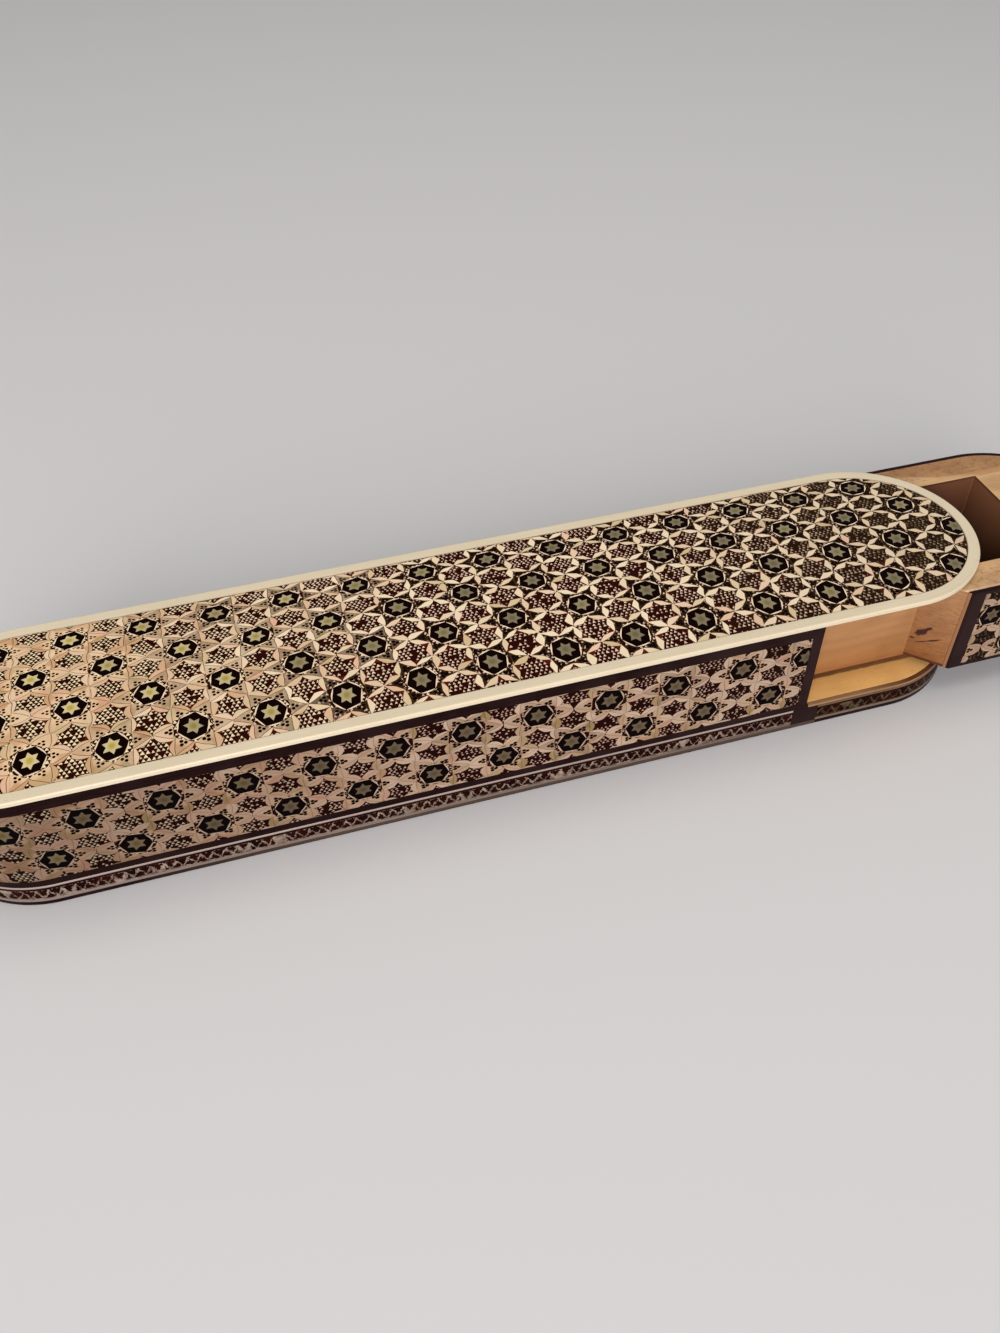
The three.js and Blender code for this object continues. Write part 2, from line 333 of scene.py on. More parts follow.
def star_marquetry():
    tree, given, result = new_group(
        "star marquetry",
        {name: FLOAT for name in PATTERN_INPUTS},
        {"Color": COLOUR, "Brass": FLOAT, "Seam": FLOAT},
    )
    along, up, squash, eye_turn, age, sharpness, dullness, fade, olive, seam_strength, seed = (
        Value(socket) for socket in given.values()
    )

    # The sheet as it was glued: it drifts, trembles, and steps at each strip.
    _, drifts = noise(combine(along * 0.45, up * 0.45, seed), 1.0)
    drift_x, drift_y, _ = separate(drifts)
    _, trembles = noise(combine(along, up, seed), 4.0, 1.0)
    tremble_x, tremble_y, _ = separate(trembles)
    u = along + (drift_x - 0.5) * DRIFT + (tremble_x - 0.5) * TREMBLE
    v = up + (drift_y - 0.5) * DRIFT + (tremble_y - 0.5) * TREMBLE
    strip_lot = lots((u * 2 + 0.5).sum("FLOOR"), seed, 3.0)
    v = v + (strip_lot[0] - 0.5) * STRIP_STEP
    seam = abs(wrap(u * 2 - 0.5, 0.5)) < 0.006 + tremble_y * 0.018

    # The nearest star of two interleaved grids.
    even_x, even_y = wrap(u, 0.5), wrap(v, HALF_ROW)
    odd_x, odd_y = wrap(u - 0.5, 0.5), wrap(v - HALF_ROW, HALF_ROW)
    is_even = (even_x * even_x + even_y * even_y) < (odd_x * odd_x + odd_y * odd_y)
    near_x = odd_x + is_even * (even_x - odd_x)
    near_y = odd_y + is_even * (even_y - odd_y)
    column = ((u - near_x) * 2).sum("ROUND")
    row = ((v - near_y) / HALF_ROW).sum("ROUND")
    star_lot = lots(column, row, seed)
    eye_lot = lots(column, row, seed + 0.5)
    x = near_x + (star_lot[0] - 0.5) * STAR_SHIFT
    y = near_y + (star_lot[1] - 0.5) * STAR_SHIFT
    star_age_and_dimming = clamped(age + dullness + (star_lot[2] - 0.5) * 0.4)

    def fold(reach, angle):
        """Folds the six points onto one half point: distance along it and away from it."""
        folded = abs(wrap(angle, math.pi / 6))
        return reach * folded.sum("COSINE"), reach * folded.sum("SINE")

    def length(a, b):
        return (a * a + b * b).sum("SQRT")

    # The two blades of each point.
    angle = y.sum("ARCTAN2", x)
    out, side = fold(length(x, y), angle)
    slice_number = (angle * (6 / math.pi)).sum("FLOOR")
    blade_lot = lots(slice_number, column + row * 17, seed)
    tone_lot = lots(slice_number, column + row * 17, seed + 0.5)
    upright = between(slice_number.sum("FLOORED_MODULO", 3.0), 0.5, 1.5)
    share = clamped(((TIP - out) * HALF_ROW + side * 0.5) * (1 / NOTCH))
    inside = 0.25 - (out * 0.5 + side * HALF_ROW) + (blade_lot[0] - 0.5) * 0.06 * (share - 0.5)
    shifted = share.sum("POWER", 0.7 + blade_lot[1] * 0.6)
    rounded = (shifted * math.pi).sum("SINE").sum("POWER", 0.5)
    pointed = clamped(1 - abs(shifted * 2 - 1)).sum("POWER", 0.8)
    swell = rounded + sharpness * (pointed - rounded)
    outwards = swell * (BLADE * 1.4 - sharpness * (BLADE * 0.4) + blade_lot[2] * (BLADE * 0.8))
    inwards = swell * (sharpness * 0.072 - 0.036)
    blade = (inside > outwards * -1) * (inside < inwards)
    edge = dullness * 0.003 + BLADE_OUTLINE
    outline = (inside > (outwards + edge) * -1) * (inside < inwards + edge) * (swell > 0.15)
    in_point = (inside > inwards) * (out > POINT_START)

    # The eye is a regular hexagon even where the sheet is squashed.
    flat_y = y * squash
    eye_angle = flat_y.sum("ARCTAN2", x) - eye_turn + (eye_lot[0] - 0.5) * 0.24
    eye_out, eye_side = fold(length(x, flat_y), eye_angle)
    to_side = eye_out * HALF_ROW + eye_side * 0.5
    from_middle = abs(eye_side * HALF_ROW - eye_out * 0.5)
    eye = to_side < EYE
    thinning = (from_middle * (math.sqrt(3) / EYE)).sum("POWER", 2.0)
    sliver = between(to_side, EYE, EYE + (1 - thinning) * EYE_SLIVER)
    inner_star = (INNER_STAR * 0.5 - (to_side * 0.5 + from_middle * HALF_ROW)) > 0
    core = clamped((INNER_STAR * 0.50 - length(x, flat_y)) * 24)

    # The crumbs that fill the gaps, and the dark dots in each point.
    row_height = GRAIN * HALF_ROW
    grain_row = (v / row_height).sum("FLOOR")
    row_lot = lots(grain_row, seed, 5.0)
    row_step = grain_row.sum("FLOORED_MODULO", 2.0) * 0.5 + row_lot[0] * age * 0.6
    grain_x = wrap(u / GRAIN + row_step, 0.5)
    grain_y = v / row_height - grain_row
    grain_lot = lots((u / GRAIN + row_step).sum("ROUND"), grain_row, seed)
    crumb_half = 0.36 + grain_lot[2] * 0.14 - grain_y * 0.42 - age * 0.09
    left_out = grain_lot[0] < 0.08 + age * 0.10 + dullness * 0.20
    crumb = (abs(grain_x) < crumb_half) * between(grain_y, 0.06, 0.92) * (1 - left_out)

    dot_size = (DOT + star_age_and_dimming * 0.008).sum("POWER", 2.0)
    first_x, other_x, other_y = out - FIRST_DOT, out - PAIR_OUT, side - PAIR_SIDE
    first_dot = (first_x * first_x + side * side) < dot_size
    other_dot = (other_x * other_x + other_y * other_y) < dot_size
    dot = clamped(first_dot + other_dot)
    dark_point = clamped(sharpness * 1.7 - 0.45 + (eye_lot[1] - 0.5) * 0.5)
    speck = crumb * (grain_lot[0] > 0.55) * dark_point * 0.7

    notch_out = out * HALF_ROW + side * 0.5 - NOTCH
    notch_across = abs(side * HALF_ROW - out * 0.5)
    notch = between(notch_out, 0.0, NOTCH_DEPTH) * (notch_across < notch_out * 0.80)

    # The colours of the parts.
    bone = lay_over(
        TAN_BONE,
        (clamped(tone_lot[0] * 0.9 + age * 0.8 - 0.25), BONE),
        (clamped(tone_lot[1] * 2.4 - 1.8), PINK_BONE),
        (clamped(tone_lot[2] * 2.4 - 1.8 + upright * olive), OLIVE_BONE),
        (fade * (0.1 + tone_lot[0] * 0.35), FADED_BONE),
    )
    crumb_bone = lay_over(
        BRIGHT_CRUMB,
        (clamped(grain_lot[1] * 0.5 + age - 0.25), WORN_CRUMB),
        (clamped(fade + (grain_lot[1] - 0.6) * 0.6), FADED_CRUMB),
    )
    point_cream = blend_colours(clamped((out - 0.30) * 14), POINT_CREAM, bone)
    point_olive = blend_colours(speck, POINT_OLIVE, WORN_CRUMB)
    # The small stars are bright where they are young, as a painted reflection on the brass, and dull where
    # old.
    star_bone = blend_colours(star_age_and_dimming, BRIGHT_STAR, UNLIT_OLD_STAR)
    core_brass = blend_colours(star_age_and_dimming, BRASS, UNLIT_OLD_BRASS)
    gap = blend_colours(fade, GAP_BROWN, GAP_OLIVE)
    notch_faded = clamped(eye_lot[2] * 2.2 - 0.9 + age * 0.4 + fade)
    seam_share = seam * seam_strength * (1 - fade)

    # The parts, laid over each other from the ground up.
    colour = lay_over(
        gap,
        (crumb, crumb_bone),
        (notch, blend_colours(notch_faded, NOTCH_RED, gap)),
        (in_point, blend_colours(dark_point, point_cream, point_olive)),
        (in_point * dot, EYE_BLACK),
        (outline * (1 - dullness), OUTLINE_OLIVE),
        (seam_share, SEAM_OLIVE),
        (blade, bone),
        (seam_share * clamped(1 - age * 2.2), SEAM_OLIVE),
        (to_side < EYE + EYE_RIM, EYE_BLACK),
        (sliver, BONE),
        (eye * inner_star, star_bone),
        (eye * inner_star * core, core_brass),
    )

    connect(result.inputs["Color"], colour)
    connect(result.inputs["Brass"], eye * inner_star)
    connect(result.inputs["Seam"], seam)
    return tree


STAR_MARQUETRY = star_marquetry()
print("star marquetry:", len(STAR_MARQUETRY.nodes), "nodes")

# %% [markdown]
# A side panel of the real box is one sheet bent round the end, so its pattern has to follow the
# wall and not the straight axis of the box. One way is to unwrap each curved piece. Here the wall
# is a straight run and a half circle, so the length along it is a short sum: how far along the
# straight side, plus the angle round the end times the radius.

# %% Measure along the wall
def along_wall():
    """Length along the side, in mm. Turn is 1 round the mouth's end and -1 round the other."""
    tree, given, result = new_group(
        "length along the wall",
        {"Place": VECTOR, "Centre": FLOAT, "Radius": FLOAT, "Turn": FLOAT},
        {"Length": FLOAT},
    )
    x, y, _ = separate(given["Place"])
    centre, radius, turn = (Value(given[n]) for n in ("Centre", "Radius", "Turn"))
    past_centre = (x - centre) * turn
    angle = past_centre.sum("MAXIMUM", 0.0).sum("ARCTAN2", y * -1)
    straight = past_centre.sum("MINIMUM", 0.0) * (1 - (y > 0) * 2)
    connect(result.inputs["Length"], centre + turn * (straight + radius * angle))
    return tree


ALONG_WALL = along_wall()


def wall_length(place, wall):
    """Length along a wall given as (centre, radius, turn), with centre and radius in metres."""
    centre, radius, turn = wall
    measured = use_group(ALONG_WALL, Place=place, Centre=centre / MM, Radius=radius / MM, Turn=turn)
    return Value(measured["Length"])

# %% [markdown]
# Lacquer, hand wear and dust are shared by the outside finishes. The group puts out a slow and a
# fine unevenness: the slow one bends reflections as a rubbed lacquer does, and the fine one breaks
# them up.

# %% Make the lacquer's unevenness
def lacquer():
    tree, given, result = new_group(
        "lacquer",
        {"Place": VECTOR, "Low": FLOAT, "High": FLOAT},
        {"Roughness": FLOAT, "Height": FLOAT},
    )
    slow, _ = noise(given["Place"], 0.16, 2.0)
    fine, _ = noise(given["Place"], 2.4, 3.0)
    low, high = Value(given["Low"]), Value(given["High"])
    mixed = clamped((slow * 0.65 + fine * 0.35 - 0.30) * 2.5)
    connect(result.inputs["Roughness"], low + mixed * (high - low))
    connect(result.inputs["Height"], slow * 0.8 + fine * 0.2)
    return tree


LACQUER = lacquer()


def lacquered(place, low, high):
    """An uneven roughness between low and high, and the height of the lacquer's surface."""
    finish = use_group(LACQUER, Place=place, Low=low, High=high)
    return finish["Roughness"], Value(finish["Height"])


SHINE = {"marquetry": 0.02, "strip": 0.04, "wood": 0.3, "cream": 0.4}


def dress(shader, colour, roughness, shine, normal):
    """Gives a Principled shader its colour, roughness, shine and relief."""
    connect(shader.inputs["Base Color"], colour)
    connect(shader.inputs["Roughness"], roughness)
    connect(shader.inputs["Specular IOR Level"], shine)
    connect(shader.inputs["Normal"], normal)

# %% [markdown]
# The lid's sheet and the side panels share the star pattern, but not its proportions: on the real
# box the stars are a little squashed across the sheet, more on the sides than on the lid, and the
# lid's rows open out towards the front. Each finish says how high a row is, how much the rows
# open, and where one star sits.
#
# The pieces change along the box. Towards the closed end the lid's petals are round, the bone is
# tanned and the brass bright with a painted reflection, under a painted warm light. From the middle on
# they are pointed, with dark insides and dull brass, and near the mouth the crumbs have darkened too.
# So an age and a fade run along the box, and the age also carries the painted reflection and warm
# light. The sides keep their round petals all along, and their brass is dull everywhere.

# %% Make the marquetry finishes
STAR_PITCH = 13.89
LID_ROW, LID_OPENING, LID_SQUASH, LID_FIRST = 8.53, 0.0397, 0.83, (-6.54, 15.6)
SIDE_ROW, SIDE_SQUASH, SIDE_FIRST = 9.35, 0.778, (-7.05, 21.4)
LID_EYE_TURN, SIDE_EYE_TURN = math.radians(11), math.radians(-4)
SIDE_DULLNESS, SIDE_OLIVE = 0.55, 0.6
LID_SEAM, SIDE_SEAM = 0.12, 0.06
BRIGHT_AT, DULL_AT = -95, 0
FADE_STARTS, FADED_AT = 31, 95
# The lid's tone runs from warmer at the closed end, as painted warm light, to plain at the middle; the sides'
# tone is darker.
LID_LIGHT_TINT = (0.98, 0.90, 0.87), (1.0, 0.97, 0.97)
SIDE_RUBBED = (0.305, 0.26, 0.275), (0.54, 0.46, 0.47)


def marquetry_material(name, seed, eye_turn, seam, wall=None):
    """Star marquetry on the lid, or on a wall given as (centre, radius, turn)."""
    material, shader, place = new_material(name, (0.42, 0.34, 0.22))
    x, y, z = separate(place)
    age = rise(x, BRIGHT_AT, DULL_AT)
    if wall is None:
        length, height, first, tint = x, y, LID_FIRST, LID_LIGHT_TINT
        row, opening, squash = LID_ROW, LID_OPENING, LID_SQUASH
        sharpness, dullness, olive = age, 0.0, 0.0
    else:
        length, height, first, tint = wall_length(place, wall), z, SIDE_FIRST, SIDE_RUBBED
        row, opening, squash = SIDE_ROW, 0.0, SIDE_SQUASH
        sharpness, dullness, olive = 0.12 + age * 0.18, SIDE_DULLNESS, SIDE_OLIVE
    rows = (height - first[1]) / row
    pattern = use_group(STAR_MARQUETRY, **{
        "Along": (length - first[0]) / STAR_PITCH,
        "Up": rows * (1 + rows * opening) * HALF_ROW,
        "Squash": squash,
        "Eye turn": eye_turn,
        "Age": age,
        "Sharpness": sharpness,
        "Dullness": dullness,
        "Fade": rise(x, FADE_STARTS, FADED_AT),
        "Olive uprights": olive,
        "Seam": seam,
        "Seed": seed,
    })
    colour = toned(pattern["Color"], blend_colours(age, *tint))
    roughness, surface = lacquered(place, 0.24, 0.42)
    relief = surface - Value(pattern["Seam"]) * 0.03
    dress(shader, colour, roughness, SHINE["marquetry"], bump(relief, 0.25, 0.20))
    connect(shader.inputs["Metallic"], Value(pattern["Brass"]) * 0.35)
    return material


SLEEVE_WALL, NOSE_WALL = (-end_centre, face_radius, -1), (nose_centre, face_radius, 1)
lid_stars = marquetry_material("star marquetry on the lid", 1.0, LID_EYE_TURN, LID_SEAM)
sleeve_stars = marquetry_material("star marquetry on the sleeve", 2.0, SIDE_EYE_TURN, SIDE_SEAM, SLEEVE_WALL)
nose_stars = marquetry_material("star marquetry on the nose", 5.0, SIDE_EYE_TURN, SIDE_SEAM, NOSE_WALL)
print("marquetry finishes made, a star every", STAR_PITCH, "mm")

# %% [markdown]
# The band round the foot is a second, simpler marquetry: a row of small dark triangles that point
# down and up by turns on a grey-brown ground, with a dark glue line above them. On the real box it
# is coarse work: the triangles are ragged, some are missing and some have run together, so their
# edges are shaken by a noise and some are left out by lot.

# %% Make the foot band's finish
BAND_PERIOD = 2.3
GLUE_STARTS = 0.86
LEFT_OUT_ABOVE, LEFT_OUT_BELOW = 0.10, 0.22


def band_material(name, wall, pale, deep):
    material, shader, place = new_material(name, (0.36, 0.29, 0.19))
    _, _, z = separate(place)
    low, high = (s.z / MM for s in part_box("foot_marquetry_band_long"))
    level = (z - low) / (high - low)
    _, shakes = noise(place, 1.5, 3.0, 0.65)
    shake_along, shake_up, shake_edge = separate(shakes)
    step = wall_length(place, wall) / BAND_PERIOD + (shake_along - 0.5) * 0.75
    number = step.sum("FLOOR")
    lot = lots(number, wall[2], 1.0)
    across = abs(step - number - 0.5) * 2
    up = level + (shake_up - 0.5) * 0.40
    zigzag = up - across * 0.62 - 0.19 + (shake_edge - 0.5) * 0.35
    upper = (zigzag > lot[2] * 0.14 - 0.02) * between(up, 0.16, 0.86) * (lot[0] > LEFT_OUT_ABOVE)
    lower = (zigzag < -0.06 - lot[1] * 0.12) * between(up, 0.12, 0.74) * (lot[1] > LEFT_OUT_BELOW)
    patch, _ = noise(place, 0.9, 3.0)
    colour = lay_over(
        pale,
        (clamped(patch * 2.6 - 0.8 + (0.45 - up) * 0.5), deep),
        (clamped(upper + lower + (level > GLUE_STARTS)), blend_colours(lot[0], EYE_BLACK, GAP_BROWN)),
    )
    roughness, surface = lacquered(place, 0.30, 0.50)
    dress(shader, colour, roughness, SHINE["marquetry"], bump(surface, 0.25, 0.15))
    return material


MOUTH_WALL = (end_centre, face_radius, 1)
long_band = band_material("narrow marquetry band", SLEEVE_WALL, (0.36, 0.275, 0.22), (0.11, 0.068, 0.052))
mouth_band = band_material(
    "narrow marquetry band at the mouth", MOUTH_WALL, (0.12, 0.082, 0.048), (0.040, 0.022, 0.011)
)
print("foot band finishes made, two triangles every", BAND_PERIOD, "mm")

# %% [markdown]
# The moulding and the foot lines of the real box are bone or a cream substitute, polished. Bone is
# never one flat colour: it has fine lengthwise streaks, a few dark pores, and dirt that gathers
# where it meets the sheet. Dark glue shows along the bottom of the upper foot line, and the lower
# one gets duller towards the mouth.

# %% Make the cream finish
CREAM_PORE, SHEET_DIRT = (0.20, 0.11, 0.05), (0.16, 0.10, 0.05)
HAND_DIRT, GLUE_BROWN = (0.05, 0.03, 0.02), (0.055, 0.028, 0.020)
DULLS_FROM, DULLS_TO = -100, 60
GLUE_LINE = 0.22


def cream_material(name, light, deep, dirt=0.0, glue_top=0.0, dulling=0.0):
    """Bone, with shares of dirt beside the sheet and of dulling, and dark glue up to a height in mm."""
    material, shader, place = new_material(name, light)
    x, y, z = separate(place)
    past = (abs(x) - end_centre / MM).sum("MAXIMUM", 0.0)
    outwards = (past * past + y * y).sum("SQRT")
    streak, _ = noise(combine(x * 0.05, outwards * 1.6, z * 1.6), 1.0, 3.0, 0.6)
    cloud, _ = noise(place, 0.07, 2.0)
    pores, _ = noise(combine(x * 0.9, y * 2.5, z * 2.5), 1.0, 2.0)
    colour = lay_over(
        light,
        (clamped(streak * 1.6 - 0.5), deep),
        (clamped(cloud * 2.0 - 0.6) * 0.5, deep),
        (clamped(pores * 9 - 6.5) * 0.6, CREAM_PORE),
        (clamped((sheet_radius / MM + 0.28 - outwards) * 4.5) * dirt, SHEET_DIRT),
        (rise(x, DULLS_FROM, DULLS_TO) * dulling, HAND_DIRT),
        (z < glue_top, GLUE_BROWN),
    )
    roughness, surface = lacquered(place, 0.16, 0.30)
    dress(shader, colour, roughness, SHINE["cream"], bump(surface + streak * 0.15, 0.2, 0.2))
    shader.inputs["Subsurface Weight"].default_value = 0.08
    shader.inputs["Subsurface Scale"].default_value = 0.6 * MM
    return material


moulding_cream = cream_material(
    "polished cream moulding", (0.77, 0.665, 0.485), (0.67, 0.57, 0.405), dirt=0.7
)
upper_cream = cream_material(
    "cream inlay line", (0.46, 0.365, 0.32), (0.30, 0.23, 0.20),
    glue_top=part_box("foot_upper_line_long")[0].z / MM + GLUE_LINE,
)
# The lower lines are darker as painted shade close to the table; the long one also dulls towards the mouth.
shaded_lower_cream = cream_material("inlay line darkened as painted shade", (0.29, 0.225, 0.20), (0.18, 0.13, 0.10), dulling=0.55)
shaded_mouth_lower_cream = cream_material(
    "inlay line darkened as painted shade at the mouth", (0.20, 0.145, 0.105), (0.13, 0.09, 0.065)
)
mouth_cream = cream_material("worn inlay line at the mouth", (0.19, 0.095, 0.045), (0.085, 0.033, 0.013))
print("five cream finishes made, from polished to worn")

# %% [markdown]
# The dark strips that frame the panels are stained wood under the same lacquer, almost black, with
# a red cast and fibres that run along the strip. Close under the lid they are darker still, as
# painted shade below the moulding. The veneer under the box is dark too, but its edge has worn
# brown below the walls. At the shoulders of the nose the strip's sawn end shows that only its
# outer half is dark: the rest is the wood it is glued to.

# %% Make the dark strip's finish
STRIP_BLACK, STRIP_RED, STRIP_GREY = (0.006, 0.001, 0.001), (0.019, 0.005, 0.005), (0.028, 0.013, 0.013)
WORN_BROWN, SHADE_UNDER_LID = (0.080, 0.050, 0.034), (0.006, 0.001, 0.0005)
SAWN_PALE, SAWN_DEEP = (0.36, 0.175, 0.085), (0.27, 0.125, 0.060)
BROWN_FROM, BROWN_FULL, BROWN_BOTTOM = -75, -35, 0.3
DARK_SKIN, SAWN_TOP = 0.45, 0.25


def dark_material(name, upright, wood_behind=False, worn_brown=False):
    material, shader, place = new_material(name, (0.045, 0.024, 0.021))
    x, y, z = separate(place)
    run = (1.6, 1.6, 0.12) if upright else (0.12, 1.6, 1.6)
    fibre, _ = noise(combine(x * run[0], y * run[1], z * run[2]), 1.6, 4.0, 0.65)
    cloud, _ = noise(place, 0.12, 2.0)
    greyed = clamped(cloud * 2 - 0.9 + clamped(x * 0.012) * 0.6)
    layers = [(clamped(fibre * 2.2 - 0.7), STRIP_RED), (greyed * 0.8, STRIP_GREY)]
    if worn_brown:
        below_walls = (x < block_high.x / MM) * (z > BROWN_BOTTOM)
        layers.append((rise(x, BROWN_FROM, BROWN_FULL) * below_walls, WORN_BROWN))
    if wood_behind:
        sawn = (abs(y) < face_radius / MM - DARK_SKIN) * (z < tray_top / MM - SAWN_TOP)
        layers.append((sawn, blend_colours(fibre, SAWN_PALE, SAWN_DEEP)))
    # Painted shade: the strips darken close under the lid's moulding.
    layers.append((clamped((z - (lid_under / MM - 0.7)) * 2.0) * 0.8, SHADE_UNDER_LID))
    roughness, surface = lacquered(place, 0.28, 0.46)
    colour = lay_over(STRIP_BLACK, *layers)
    dress(shader, colour, roughness, SHINE["strip"], bump(fibre * 0.4 + surface, 0.25, 0.12))
    return material


dark_strip = dark_material("dark strip", upright=False)
dark_upright = dark_material("dark upright strip", upright=True)
plate_veneer = dark_material("dark veneer under the box", upright=False, worn_brown=True)
shoulder_strip = dark_material("dark strip at the shoulder", upright=True, wood_behind=True)
print("four dark finishes made")

# %% [markdown]
# The cores of the box are bare, sanded fruitwood. Its look comes from three things at three sizes:
# broad growth bands, fine fibres along the grain, and short dark pores. They are worked out in
# three dimensions, so that a board's top, side and slanted end each show the cut they would have.

# %% Build the wood grain
def wood_grain():
    tree, given, result = new_group(
        "wood grain",
        {"Place": VECTOR, "Band width": FLOAT, "Seed": FLOAT},
        {"Bands": FLOAT, "Fibres": FLOAT, "Pores": FLOAT, "Height": FLOAT},
    )
    x, y, z = separate(given["Place"])
    width, seed = Value(given["Band width"]), Value(given["Seed"])
    sway, _ = noise(combine(x * 0.022 + seed, y * 0.12, z * 0.12), 1.0, 2.0)
    ripple, _ = noise(combine(x * 0.11, y * 0.5 + seed, z * 0.5), 1.0, 2.0)
    depth = (y * 0.55 + z * 0.83 + sway * 9.0 + ripple * 1.1) / width
    bands = clamped((depth * (2 * math.pi)).sum("SINE") * 0.5 + 0.5).sum("POWER", 1.6)
    fibres, _ = noise(combine(x * 0.16 + seed, y * 3.2, z * 3.2), 1.0, 4.0, 0.62)
    dashes, _ = noise(combine(x * 0.45, y * 4.6 + seed, z * 4.6), 1.0, 1.0)
    pores = clamped(dashes * 10 - 6.9)
    connect(result.inputs["Bands"], bands)
    connect(result.inputs["Fibres"], fibres)
    connect(result.inputs["Pores"], pores)
    connect(result.inputs["Height"], fibres * 0.7 - pores * 0.6 + bands * 0.15)
    return tree


WOOD_GRAIN = wood_grain()

# %% [markdown]
# Each board has its own tone. The tray's inside is dark and red, because it was stained or has
# darkened; it is also painted darker towards the bottom as shade, and lighter on the nose's inner end
# as painted light. The tray's rim is pale sapwood, wider towards the shoulder, with a painted highlight
# along the nose's near edge. Painted shade lies in a line on the floor board beside the walls, and at
# the foot of the walls and the shoulders. The slanted shoulder in front shows a small knot with a
# tail, and a crack beside it. The marks sit at places in the box's own frame, so they stay on the
# wood from any side.

# %% Draw marks, sapwood, stain, and painted light and shade
KNOT = (-16.50, 14.9, math.radians(122), 1.40, 0.80)
KNOT_TAIL = (-17.35, 16.2, math.radians(122), 1.15, 0.38)
CRACK = (-18.60, 13.7, math.radians(142), 1.45, 0.26)
CRACK_START = (-16.90, 12.4, math.radians(142), 1.55, 0.15)
SPOT = (-15.50, 12.8, 0.0, 0.45, 0.30)
SHOULDER_MARKS = (KNOT, KNOT_TAIL, CRACK, CRACK_START, SPOT)
# The second colour is a painted highlight along the nose's near edge.
SAPWOOD, SAPWOOD_HIGHLIGHT = (0.70, 0.45, 0.235), (0.82, 0.58, 0.40)
SAPWOOD_WIDE_AT, SAPWOOD_NARROW_AT = 100, 122
SAPWOOD_NARROW, SAPWOOD_WIDE = 14.0, 19.0
# The inside of the tray: the low colour is painted shade and the colour at the end is painted light.
STAIN_IN_PAINTED_SHADE, STAIN_HIGH = (0.030, 0.010, 0.006), (0.17, 0.064, 0.032)
STAIN_IN_PAINTED_LIGHT, DARK_AT_RIM = (0.22, 0.090, 0.042), (0.050, 0.016, 0.008)


def mark_on_end(y, z, across, height, lean, half_length, half_width, ragged):
    """1 at the middle of a long mark on an end face, falling to 0 at its edge. Sizes are in mm."""
    cosine, sine = math.cos(lean), math.sin(lean)
    lengthwise = ((y - across) * cosine + (z - height) * sine) / half_length
    crosswise = ((z - height) * cosine - (y - across) * sine) / half_width
    from_middle = (lengthwise * lengthwise + crosswise * crosswise).sum("SQRT")
    return clamped((1 - from_middle + (ragged - 0.5) * 0.9) * 2.2)


def sapwood_and_highlight_layers(x, y, z, light, share, cloud):
    """Pale wood up the tray's walls and on its rim, and a painted highlight along the nose's near edge."""
    top = tray_top / MM
    on_top = z > top - 0.25
    widening = rise(x, SAPWOOD_NARROW_AT, SAPWOOD_WIDE_AT)
    edge = SAPWOOD_NARROW + widening * (SAPWOOD_WIDE - SAPWOOD_NARROW)
    in_sapwood = clamped((edge + (cloud - 0.5) * 3 - abs(y)) * 1.3 + (y < 0) * 9) * on_top
    past = (x - nose_centre / MM).sum("MAXIMUM", 0.0)
    from_middle = (past * past + y * y).sum("SQRT")
    near_edge = (from_middle > core_radius / MM - 0.45) * (y < 0) * on_top
    return (
        (rise(z, tray_bottom / MM, top) * 0.35, SAPWOOD),
        (in_sapwood * 0.85, blend_colours(share * 0.5, SAPWOOD, light)),
        # Painted highlight along the nose's near edge.
        (near_edge * 0.8, SAPWOOD_HIGHLIGHT),
    )


def stain_and_shade_layer(x, y, z, cloud):
    """The dark red colour inside the tray's compartment: painted darker towards the bottom as shade, lighter
    on the nose's inner end as painted light, and darker along the top of the inner faces.
    """
    end, half, bottom, top = (s / MM for s in (compartment_end, tray_inside, floor_high.z, tray_top))
    within = (x < end + 0.05) * (abs(y) < half + 0.05) * between(z, bottom - 0.05, top - 0.10)
    up_inside = clamped((z - bottom) / (top - bottom) + (cloud - 0.5) * 0.5)
    # Painted shade darkens the compartment towards its bottom, painted light brightens the nose's inner end,
    # and the top of the inner faces is darker.
    stain = lay_over(
        STAIN_IN_PAINTED_SHADE,
        (up_inside, STAIN_HIGH),
        ((x > end - 0.3) * up_inside, STAIN_IN_PAINTED_LIGHT),
        ((z > top - 0.65) * 0.6, DARK_AT_RIM),
    )
    return within * 0.95, stain


print("marks on the shoulder:", len(SHOULDER_MARKS))

# %% Make the wood finishes
# The first two colours here are painted shade, at the foot of the walls and beside them on the board.
FOOT_SHADE, BOARD_SEAM_SHADE, HANDLED_BROWN = (0.060, 0.008, 0.004), (0.13, 0.022, 0.004), (0.12, 0.036, 0.010)
WOOD_PORE, MARK_BROWN = (0.16, 0.06, 0.025), (0.045, 0.010, 0.008)
FOOT_LINE = 0.85


def darker(colour, share):
    return tuple(channel * share for channel in colour)


